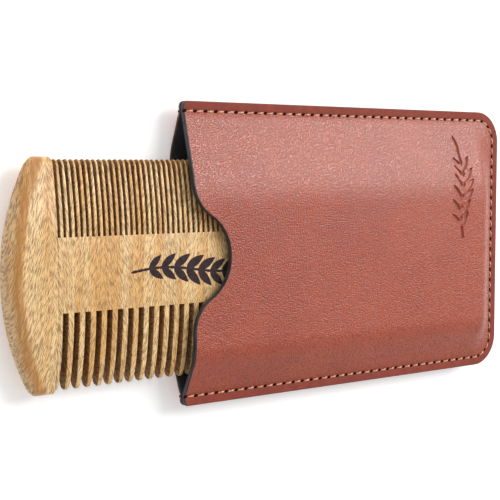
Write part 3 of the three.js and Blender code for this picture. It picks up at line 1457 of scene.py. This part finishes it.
@dataclass(frozen=True)
class SleeveShape:
    """The sleeve's outline and bulge, in millimetres. x is measured from its mouth, and y from its long axis."""

    mouth: float
    length: float
    half_width: float
    seam_height: float
    corner: float = 8.8
    flat: float = 2.95
    upper_run: float = 24.0
    lower_run: float = 12.8
    end_run: float = 9.3
    straight: float = 0.55
    notch_depth: float = 10.8
    notch_bottom: float = 12.2
    notch_shoulder: float = 9.4
    notch_centre: float = -0.5
    mouth_corner: float = 1.3

    def notch_reach(self, across: np.ndarray) -> np.ndarray:
        """Gives how far the thumb notch reaches in from the mouth.

        Args:
            across: Distances from the long axis.

        Returns:
            The reach at each.
        """
        radii = self.notch_bottom + self.notch_shoulder
        half = math.sqrt(2 * self.notch_depth * radii - self.notch_depth**2)
        y = np.minimum(np.abs(across - self.notch_centre), half)
        bottom = self.notch_depth - self.notch_bottom + np.sqrt(np.maximum(self.notch_bottom**2 - y**2, 0.0))
        shoulder = self.notch_shoulder - np.sqrt(np.maximum(self.notch_shoulder**2 - (half - y) ** 2, 0.0))
        return np.where(y <= half * self.notch_bottom / radii, bottom, shoulder)

    def reach(self, across: np.ndarray) -> np.ndarray:
        """Gives how far the sleeve reaches from its mouth at each distance from the long axis."""
        past = np.clip(np.abs(across) - (self.half_width - self.corner), 0.0, self.corner)
        return self.length - self.corner + np.sqrt(self.corner**2 - past**2)

    def corner_retreat(self, across: np.ndarray) -> np.ndarray:
        """Gives how far the mouth's own small corners are rounded back at each distance from the long axis."""
        return self.mouth_corner * (1.0 - rounded(self.side_inset(across), self.mouth_corner))

    def side_inset(self, across: np.ndarray) -> np.ndarray:
        """Gives the distance to the nearer long edge."""
        return self.half_width - np.abs(across)

    def inset(self, x: np.ndarray, y: np.ndarray) -> np.ndarray:
        """Gives the distance to the sewn outline, round its corners too.

        Args:
            x: Places along the sleeve, from the mouth.
            y: Places across it.

        Returns:
            The distance from each.
        """
        past_x = x - (self.length - self.corner)
        past_y = self.corner - self.side_inset(y)
        round_corner = self.corner - np.hypot(np.maximum(past_x, 0.0), np.maximum(past_y, 0.0))
        plain = np.minimum(self.side_inset(y), self.length - x)
        return np.where((past_x > 0) & (past_y > 0), round_corner, plain)

    def grow(self, inset: np.ndarray, run: np.ndarray | float) -> np.ndarray:
        """Rises over a run inside the flat border: straight at first, then rounding off level.

        Args:
            inset: Distances from the edge.
            run: How far the rise takes.

        Returns:
            The share of the rise at each, from 0 to 1.
        """
        share = np.clip((inset - self.flat) / run, 0.0, 1.0)
        slope = 2.0 / (1.0 + self.straight)
        level = 1.0 - slope * (1.0 - share) ** 2 / (2.0 * (1.0 - self.straight))
        return np.where(share < self.straight, slope * share, level)

    def bulge(self, x: np.ndarray, y: np.ndarray) -> np.ndarray:
        """Gives the share of its full bulge that a panel has at each point."""
        side_run = np.where(y > 0, self.upper_run, self.lower_run)
        return self.grow(self.side_inset(y), side_run) * self.grow(self.reach(y) - x, self.end_run)


@dataclass
class SeamLine:
    """The line of stitching, from the mouth along +Y, round the closed end and back along -Y."""

    shape: SleeveShape
    inset: float = 2.5
    from_mouth: float = 0.45
    pitch: float = 3.14

    @property
    def half(self) -> float:
        """Half the distance between its two long runs."""
        return self.shape.half_width - self.inset

    @property
    def radius(self) -> float:
        """The radius of its two bends."""
        return self.shape.corner - self.inset

    @property
    def straight(self) -> float:
        """The length of each long run."""
        return self.shape.length - self.shape.corner - self.from_mouth

    def point(self, travelled: float) -> tuple[Vector, Vector]:
        """Finds a place on the line.

        Args:
            travelled: The distance along it from the mouth.

        Returns:
            Its place in the part's frame at the seam's height, and the direction of the line.
        """
        half, radius, straight = self.half, self.radius, self.straight
        bend = radius * math.pi / 2
        end = 2 * (half - radius)
        start = self.shape.mouth + self.from_mouth
        corner_x = start + straight
        left = travelled
        if left <= straight:
            return Vector((start + left, half, self.shape.seam_height)), Vector((1, 0, 0))
        left -= straight
        if left <= bend:
            turn = left / radius
            x, y = corner_x + radius * math.sin(turn), half - radius + radius * math.cos(turn)
            return Vector((x, y, self.shape.seam_height)), Vector((math.cos(turn), -math.sin(turn), 0))
        left -= bend
        if left <= end:
            return Vector((corner_x + radius, half - radius - left, self.shape.seam_height)), Vector((0, -1, 0))
        left -= end
        if left <= bend:
            turn = left / radius
            x, y = corner_x + radius * math.cos(turn), -half + radius - radius * math.sin(turn)
            return Vector((x, y, self.shape.seam_height)), Vector((-math.sin(turn), -math.cos(turn), 0))
        left -= bend
        return Vector((corner_x - left, -half, self.shape.seam_height)), Vector((-1, 0, 0))

    @property
    def travel(self) -> float:
        """The line's whole length."""
        return 2 * self.straight + math.pi * self.radius + 2 * (self.half - self.radius)

    def holes(self) -> np.ndarray:
        """Lists the needle holes, as distances along the line."""
        count = round(self.travel / self.pitch)
        return np.linspace(0.0, self.travel, count + 1)


@dataclass(frozen=True)
class SheetGrid:
    """Where a sheet's grid lines stand: beside an edge and over the seam, as distances from the edge, and between."""

    edge: tuple[float, ...]
    seam: tuple[float, ...]
    along_step: float
    across_step: float = 0.95
    mark_step: float = 0.22
    mark_margin: float = 1.0
    mouth_gap: float = 0.25
    end_gap: float = 0.5
    side_gap: float = 0.7


LINING_GRID = SheetGrid(edge=(0.0, 0.3), seam=(1.6, 3.2, 4.4), along_step=1.6)
LEATHER_GRID = SheetGrid(
    edge=(0.0, 0.04, 0.09, 0.16, 0.26, 0.45),
    seam=(0.7, 1.2, 1.6, 1.9, 2.15, 2.35, 2.5, 2.65, 2.85, 3.1, 3.4, 3.8, 4.4, 5.0),
    along_step=0.55,
)


@dataclass(frozen=True)
class SkinRelief:
    """How a sewn sheet's outer face stands in from its plain height, in millimetres.

    The stitching pulls down a groove, with a dimple at each hole and a low ridge inside it, and from slack_inset on
    the hide waves a little.
    """

    groove: float = 0.16
    groove_width: float = 0.42
    ridge: float = 0.12
    ridge_inset: float = 4.4
    ridge_width: float = 1.2
    dimple: float = 0.17
    dimple_width: float = 0.42
    slack: float = 0.10
    slack_inset: float = 5.0
    slack_ease: float = 8.0
    wave_along: float = 9.5
    wave_across: float = 12.5
    wave_shift: float = 0.4
    sway: float = 0.6
    sway_across: float = 11.0

    def sewn(self, x: np.ndarray, y: np.ndarray, shape: SleeveShape, seam: SeamLine) -> np.ndarray:
        """Gives the height of the groove, its dimples and the ridge.

        Args:
            x: Places along the sleeve, from the mouth.
            y: Places across it.
            shape: The sleeve's outline.
            seam: The line of stitching.

        Returns:
            A height for each, in millimetres.
        """
        inset = shape.inset(x, y)
        height = -self.groove * np.exp(-(((inset - seam.inset) / self.groove_width) ** 2))
        height = height + self.ridge * np.exp(-(((inset - self.ridge_inset) / self.ridge_width) ** 2))
        for travelled in seam.holes():
            spot, _ = seam.point(float(travelled))
            off = (x + shape.mouth - spot.x) ** 2 + (y - spot.y) ** 2
            height = height - self.dimple * np.exp(-off / self.dimple_width**2)
        return height

    def waved(self, x: np.ndarray, y: np.ndarray, inset: np.ndarray, highest: float) -> np.ndarray:
        """Gives the height of the hide's slow waves.

        Args:
            x: Places along the sleeve, from the mouth.
            y: Places across it.
            inset: Their distances from the sewn outline.
            highest: The height of a crest, as a share of the slack. It is 0 where nothing may stand proud.

        Returns:
            A height for each, in millimetres.
        """
        swayed = x / self.wave_along + self.sway * np.sin(y / self.sway_across)
        wave = np.sin(swayed) * np.cos(y / self.wave_across + self.wave_shift)
        shifted = wave - (1.0 - highest)
        return self.slack * shifted * eased((inset - self.slack_inset) / self.slack_ease)


@dataclass
class PanelSheet:
    """One leather or lining sheet of the sleeve. from_seam is its inner face's distance from the seam's middle."""

    piece: Piece
    shape: SleeveShape
    side: Side
    from_seam: float
    thickness: float
    rise: float
    notched: bool
    grid_lines: SheetGrid
    seam: SeamLine | None = None
    emboss: Sprig | None = None
    relief: SkinRelief = SkinRelief()
    notch_fade: float = 34.0
    corner_fade: float = 26.0
    fade_bow: float = 1.5
    edge_rounding: float = 0.3
    # Edge paint on the mouth's cut edge, carried half a millimetre onto the face as painted shade beside it.
    mouth_paint_and_shade: float = 0.5
    painted_edge: float = 0.13
    emboss_depth: float = 0.55
    emboss_edge: float = 0.30
    emboss_lip: float = 0.12
    lip_width: float = 4.0

    def spacings(self, start: float, end: float, step: float) -> np.ndarray:
        """Lists even places from start up to but not including end, about a step apart."""
        return np.linspace(start, end, max(2, round((end - start) / step)) + 1)[:-1]

    def along_lines(self) -> np.ndarray:
        """Lists the grid lines along the sleeve.

        Returns:
            Their distances from the mouth.
        """
        lines = self.grid_lines
        edge, ends = np.array(lines.edge), np.array(lines.seam)
        placed = [edge]
        start = edge[-1] + lines.mouth_gap
        stop = self.shape.length - ends[-1] - lines.end_gap
        if self.emboss:
            low = self.emboss.x - self.shape.mouth - self.emboss.leaf_length
            high = self.emboss.x - self.shape.mouth + self.emboss.leaf_length
            placed += [self.spacings(start, low, lines.along_step), self.spacings(low, high, lines.mark_step)]
            start = high
        placed += [self.spacings(start, stop, lines.along_step), [stop]]
        return np.concatenate([*placed, self.shape.length - ends[::-1], self.shape.length - edge[::-1]])

    def across_lines(self) -> np.ndarray:
        """Lists the grid lines across the sleeve.

        Returns:
            Their places, from its long axis.
        """
        lines = self.grid_lines
        edge = self.shape.half_width - np.array(lines.edge)
        seam_zone = self.shape.half_width - np.array(lines.seam)
        inner = seam_zone[-1] - lines.side_gap
        middle = []
        start = -inner
        if self.emboss:
            low = self.emboss.y - self.emboss.length / 2 - lines.mark_margin
            high = self.emboss.y + self.emboss.length / 2 + self.emboss.leaf_length
            middle = [self.spacings(start, low, lines.across_step), self.spacings(low, high, lines.mark_step)]
            start = high
        middle.append(self.spacings(start, inner, lines.across_step))
        return np.concatenate([-edge, -seam_zone, *middle, [inner], seam_zone[::-1], edge[::-1]])

    def grid(self) -> tuple[np.ndarray, np.ndarray, np.ndarray]:
        """Lays the sheet's grid on its plan, bent to follow the notch and the round corners.

        Returns:
            Each point's x and y, and its line's distance from the mouth before the bending.
        """
        along, across = np.meshgrid(self.along_lines(), self.across_lines(), indexing="ij")
        near = self.shape.corner_retreat(across)
        if self.notched:
            near = near + self.shape.notch_reach(across)
        from_end = self.shape.length - along
        notch = near * np.clip(1.0 - along / self.notch_fade, 0.0, 1.0) ** self.fade_bow
        cut = self.shape.length - self.shape.reach(across)
        corner = cut * np.clip(1.0 - from_end / self.corner_fade, 0.0, 1.0) ** self.fade_bow
        return along + notch - corner, across, along

    def surface(self, x: np.ndarray, y: np.ndarray, along: np.ndarray) -> np.ndarray:
        """Gives how far the outer face stands above its plain height, for stitching, emboss and edge.

        Args:
            x: Places along the sleeve, from the mouth.
            y: Places across it.
            along: The grid lines' distances from the mouth.

        Returns:
            A height for each, in millimetres.
        """
        edge = np.minimum(self.shape.side_inset(y), np.minimum(self.shape.reach(y) - x, along))
        height = -self.edge_rounding * (1.0 - rounded(edge, self.edge_rounding))
        if self.seam is None:
            return height
        height = height + self.relief.sewn(x, y, self.shape, self.seam)
        highest = 0.0 if self.side is Side.BACK else 1.0
        height = height + self.relief.waved(x, y, self.shape.inset(x, y), highest)
        if self.emboss:
            place = x + self.shape.mouth
            pressed = eased(self.emboss.cover(place, y, self.emboss_edge))
            near = eased(self.emboss.cover(place, y, self.lip_width * self.emboss_edge))
            height = height - self.emboss_depth * pressed + self.emboss_lip * (near * (1.0 - pressed))
        return height

    def build(self, materials: Sequence[bpy.types.Material]) -> bpy.types.Object:
        """Builds the sheet as a closed solid.

        Args:
            materials: Its face's finish and its edge's finish.

        Returns:
            The sheet.
        """
        x, y, along = self.grid()
        inner = self.from_seam + self.rise * self.shape.bulge(x, y)
        outer = inner + self.thickness + self.surface(x, y, along)
        rows, columns = x.shape
        draft = MeshDraft()
        for height in (inner, outer):
            z = self.shape.seam_height + self.side.value * height
            draft.ring(np.column_stack([(x + self.shape.mouth).ravel(), y.ravel(), z.ravel()]))
        number = np.arange(rows * columns).reshape(rows, columns)
        skin = number + rows * columns
        sewn = np.minimum(self.shape.side_inset(y), self.shape.reach(y) - x)
        # Faces by the sewn edges take the edge paint; by the mouth the band is wider, painting the shade beside the
        # cut edge.
        painted = (sewn < self.painted_edge) | (along < self.mouth_paint_and_shade)
        for i in range(rows - 1):
            for j in range(columns - 1):
                corners = ((i, j), (i + 1, j), (i + 1, j + 1), (i, j + 1))
                draft.face([int(number[at]) for at in corners])
                coated = all(painted[at] for at in corners)
                draft.face([int(skin[at]) for at in corners], 1 if coated else 0)
        rim = [(i, 0) for i in range(rows)]
        rim += [(rows - 1, j) for j in range(1, columns)]
        rim += [(i, columns - 1) for i in range(rows - 2, -1, -1)]
        rim += [(0, j) for j in range(columns - 2, 0, -1)]
        draft.loft([[int(number[at]) for at in rim], [int(skin[at]) for at in rim]], finish=1)
        return draft.build(self.piece, materials)


@dataclass
class StitchRun:
    """The thread that shows on one face of the seam: a twisted stitch from each needle hole to the next."""

    piece: Piece
    seam: SeamLine
    side: Side
    face_height: float
    radius: float = 0.20
    reach: float = 0.32
    steps: int = 13
    around: int = 10
    turns_per_stitch: float = 2.2
    slant: float = 0.13
    arch_height: float = 0.44
    arch_bow: float = 0.5
    sunk: float = 0.38
    end_size: float = 0.55
    growth: float = 0.45
    plies: float = 2.0
    ply_depth: float = 0.2

    def stitch(self, draft: MeshDraft, start: float, end: float) -> None:
        """Adds one stitch.

        Args:
            draft: What it is added to.
            start: Its first hole, as a distance along the seam.
            end: Its last hole.
        """
        rings = []
        for share in np.linspace(0.0, 1.0, self.steps):
            place, along = self.seam.point(start + (0.5 + self.reach * (2.0 * share - 1.0)) * (end - start))
            aside = Vector((-along.y, along.x, 0.0))
            arch = math.sin(math.pi * share) ** self.arch_bow
            lift = self.side.value * (self.arch_height * arch - self.sunk)
            middle = place + aside * (self.slant * (2.0 * share - 1.0)) + Vector((0, 0, lift))
            middle.z += self.face_height - self.seam.shape.seam_height
            slim = self.end_size + self.growth * arch
            ring = []
            for k in range(self.around):
                turn = math.tau * k / self.around
                twist = math.tau * self.turns_per_stitch * share
                swell = 1.0 + self.ply_depth * math.cos(self.plies * turn + twist)
                reach = self.radius * slim * swell
                ring.append(middle + aside * (reach * math.cos(turn)) + Vector((0, 0, reach * math.sin(turn))))
            rings.append(draft.ring(ring))
        draft.loft(rings)
        draft.face(rings[0])
        draft.face(rings[-1])

    def build(self, material: bpy.types.Material) -> bpy.types.Object:
        """Builds every stitch on this face.

        Args:
            material: The thread's finish.

        Returns:
            The run.
        """
        draft = MeshDraft()
        holes = self.seam.holes()
        for start, end in zip(holes, holes[1:]):
            self.stitch(draft, float(start), float(end))
        return draft.build(self.piece, [material])


@dataclass
class NeedleHoleShades:
    """Painted shade in the needle holes: a dark slanted slit where each stitch meets the next."""

    piece: Piece
    seam: SeamLine
    side: Side
    face_height: float
    half_length: float = 0.70
    half_width: float = 0.46
    half_depth: float = 0.14
    lean: float = math.radians(24)
    sunk: float = 0.19
    rings: int = 6
    around: int = 12

    def build(self, material: bpy.types.Material) -> bpy.types.Object:
        """Builds every slit as a small dark lens in its dimple, painted shade for the hole.

        Args:
            material: Its finish.

        Returns:
            The slits.
        """
        draft = MeshDraft()
        for travelled in self.seam.holes():
            place, along = self.seam.point(float(travelled))
            turn = Matrix.Rotation(self.lean, 3, "Z")
            long_way = turn @ along
            short_way = Vector((-long_way.y, long_way.x, 0.0))
            centre = Vector((place.x, place.y, self.face_height - self.side.value * self.sunk))
            loops = []
            for tilt in np.linspace(0.0, math.pi, self.rings + 1):
                loop = []
                for k in range(self.around):
                    angle = math.tau * k / self.around
                    wide = math.sin(tilt)
                    spot = centre + long_way * (self.half_length * wide * math.cos(angle))
                    spot += short_way * (self.half_width * wide * math.sin(angle))
                    spot.z += self.half_depth * math.cos(tilt)
                    loop.append(spot)
                loops.append(draft.ring(loop))
            draft.loft(loops)
        return draft.build(self.piece, [material])


@dataclass
class LeatherSleeve:
    """The sleeve: two leather panels, their linings, and the lockstitched seam."""

    effects: Effects
    leather_thickness: float = 0.75
    lining_thickness: float = 0.35
    film: float = 0.05
    front_rise: float = 5.2
    back_rise: float = 4.4
    mark: Sprig = Sprig(
        x=94.0,
        y=13.5,
        heading=math.pi / 2,
        length=25.0,
        pairs=6,
        leaf_length=6.8,
        leaf_width=2.1,
        stem_width=0.95,
        bend=0.8,
    )

    def build(self) -> None:
        """Builds every piece of the sleeve where the CAD has it."""
        low, high = node_box("back_leather_panel")
        _, front_high = node_box("front_leather_panel")
        panel = self.leather_thickness + self.film + self.lining_thickness
        seam_height = front_high.z - panel - self.film - self.front_rise
        shape = SleeveShape(low.x, high.x - low.x, (high.y - low.y) / 2, seam_height)
        seam = SeamLine(shape)
        hide_finish = GrainLeather("grain_leather", shape.mouth, shape.length, shape.half_width, shape.corner)
        leather = hide_finish.built(self.effects)
        paint = EdgePaint().built(self.effects)
        suede = Suede().built(self.effects)
        thread = WaxedThread().built(self.effects)
        # Painted shade for the insides of the needle holes.
        hole = NeedleHoleShade().built(self.effects)
        pressed = replace(self.mark, x=shape.mouth + self.mark.x)
        for side, rise in ((Side.FRONT, self.front_rise), (Side.BACK, self.back_rise)):
            front = side is Side.FRONT
            face, run = ("front", "needle") if front else ("back", "bobbin")
            outline = shape if front else replace(shape, upper_run=shape.lower_run)
            inner = self.film / 2
            outer = inner + self.lining_thickness + self.film
            lining = Piece(f"{face}_suede", Body.SLEEVE, Slot.LINING, (f"{face}_lining",))
            sizes = (inner, self.lining_thickness, rise, front, LINING_GRID)
            PanelSheet(lining, outline, side, *sizes).build([suede, paint])
            hide = Piece(f"{face}_leather", Body.SLEEVE, Slot.LEATHER, (f"{face}_leather_panel",))
            sizes = (outer, self.leather_thickness, rise, front, LEATHER_GRID)
            sheet = PanelSheet(hide, outline, side, *sizes, seam, pressed if front else None)
            sheet.build([leather, paint])
            face_height = seam_height + side.value * (outer + self.leather_thickness)
            stitches = Piece(f"{run}_stitches", Body.SLEEVE, Slot.THREAD, (f"{run}_thread",))
            StitchRun(stitches, seam, side, face_height).build(thread)
            # Dark lenses sunk in the needle holes, as painted shade.
            hole_shades = Piece(f"{face}_needle_hole_shades", Body.SLEEVE, Slot.LEATHER)
            NeedleHoleShades(hole_shades, seam, side, face_height).build(hole)


# ------------------------------------------------------------------------------------------------ studio


def facing(place: Vector, ahead: Vector) -> Matrix:
    """Gives the pose of a camera or a light that looks one way, with its top towards +Y.

    Args:
        place: Where it stands, in millimetres.
        ahead: The way that it looks.

    Returns:
        Its matrix in the world, in metres.
    """
    ahead = ahead.normalized()
    right = ahead.cross(Vector((0.0, 1.0, 0.0))).normalized()
    turned = Matrix((right, right.cross(ahead), -ahead)).transposed().to_4x4()
    return Matrix.Translation(place * MM) @ turned


@dataclass(frozen=True)
class Softbox:
    """A large soft light: where it stands, what it faces, and its size both ways, in millimetres."""

    name: str
    place: Triple
    target: Triple
    width: float
    height: float
    brightness: float
    colour: Colour = (1.0, 1.0, 1.0)

    def build(self) -> bpy.types.Object:
        """Hangs the light.

        Returns:
            The light.
        """
        data = bpy.data.lights.new(self.name, "AREA")
        data.shape = "RECTANGLE"
        data.size = self.width * MM
        data.size_y = self.height * MM
        data.energy = self.brightness * math.pi * data.size * data.size_y
        data.color = self.colour
        lamp = bpy.data.objects.new(self.name, data)
        lamp.matrix_world = facing(Vector(self.place), Vector(self.target) - Vector(self.place))
        bpy.context.scene.collection.objects.link(lamp)
        return lamp


@dataclass(frozen=True)
class Viewpoint:
    """The camera: its place in millimetres, its angles in radians, and its lens in millimetres."""

    place: Triple = (-189.7, 21.9, 248.6)
    yaw: float = math.radians(36.22)
    pitch: float = math.radians(4.10)
    lens: float = 83.5
    sensor: float = 36.0
    near: float = 10.0
    far: float = 10000.0

    def build(self) -> bpy.types.Object:
        """Sets up the camera, its picture's top towards +Y.

        Returns:
            The camera.
        """
        data = bpy.data.cameras.new("camera")
        data.lens = self.lens
        data.sensor_width = self.sensor
        data.dof.use_dof = False
        data.clip_start = self.near * MM
        data.clip_end = self.far * MM
        camera = bpy.data.objects.new("camera", data)
        level = math.cos(self.pitch)
        ahead = Vector((math.sin(self.yaw) * level, -math.sin(self.pitch), -math.cos(self.yaw) * level))
        camera.matrix_world = facing(Vector(self.place), ahead)
        bpy.context.scene.collection.objects.link(camera)
        bpy.context.scene.camera = camera
        return camera


@dataclass
class Studio:
    """The pale floor, the soft lights and the camera."""

    effects: Effects
    floor_half: float = 900.0
    surround: float = 0.62
    lights: tuple[Softbox, ...] = (
        Softbox("upper_right_softbox", (440, 285, 540), (20, 0, 0), width=640, height=330, brightness=7.0),
        Softbox("overhead_softbox", (-160, 480, 260), (-20, 0, 0), width=500, height=260, brightness=1.6),
    )

    def build(self) -> None:
        """Sets out the floor, the surround, the lights and the camera."""
        mesh = bpy.data.meshes.new("floor")
        half = self.floor_half * MM
        corners = [(-half, -half, 0), (half, -half, 0), (half, half, 0), (-half, half, 0)]
        mesh.from_pydata(corners, [], [(0, 1, 2, 3)])
        mesh.materials.append(PaleFloor().built(self.effects))
        floor = bpy.data.objects.new("floor", mesh)
        bpy.context.scene.collection.objects.link(floor)
        world = bpy.data.worlds.new("surround")
        world.use_nodes = True
        world.node_tree.nodes["Background"].inputs["Color"].default_value = (1.0, 1.0, 1.0, 1.0)
        world.node_tree.nodes["Background"].inputs["Strength"].default_value = self.surround
        bpy.context.scene.world = world
        bpy.context.scene.view_settings.view_transform = "Standard"
        for light in self.lights:
            light.build()
        Viewpoint().build()


def main() -> None:
    """Builds the comb, the sleeve and the studio."""
    logging.basicConfig(level=logging.INFO, format="%(name)s %(message)s")
    effects = Effects.built()
    Studio(effects).build()
    BeardComb(effects).build()
    LeatherSleeve(effects).build()


if __name__ == "__main__":
    main()
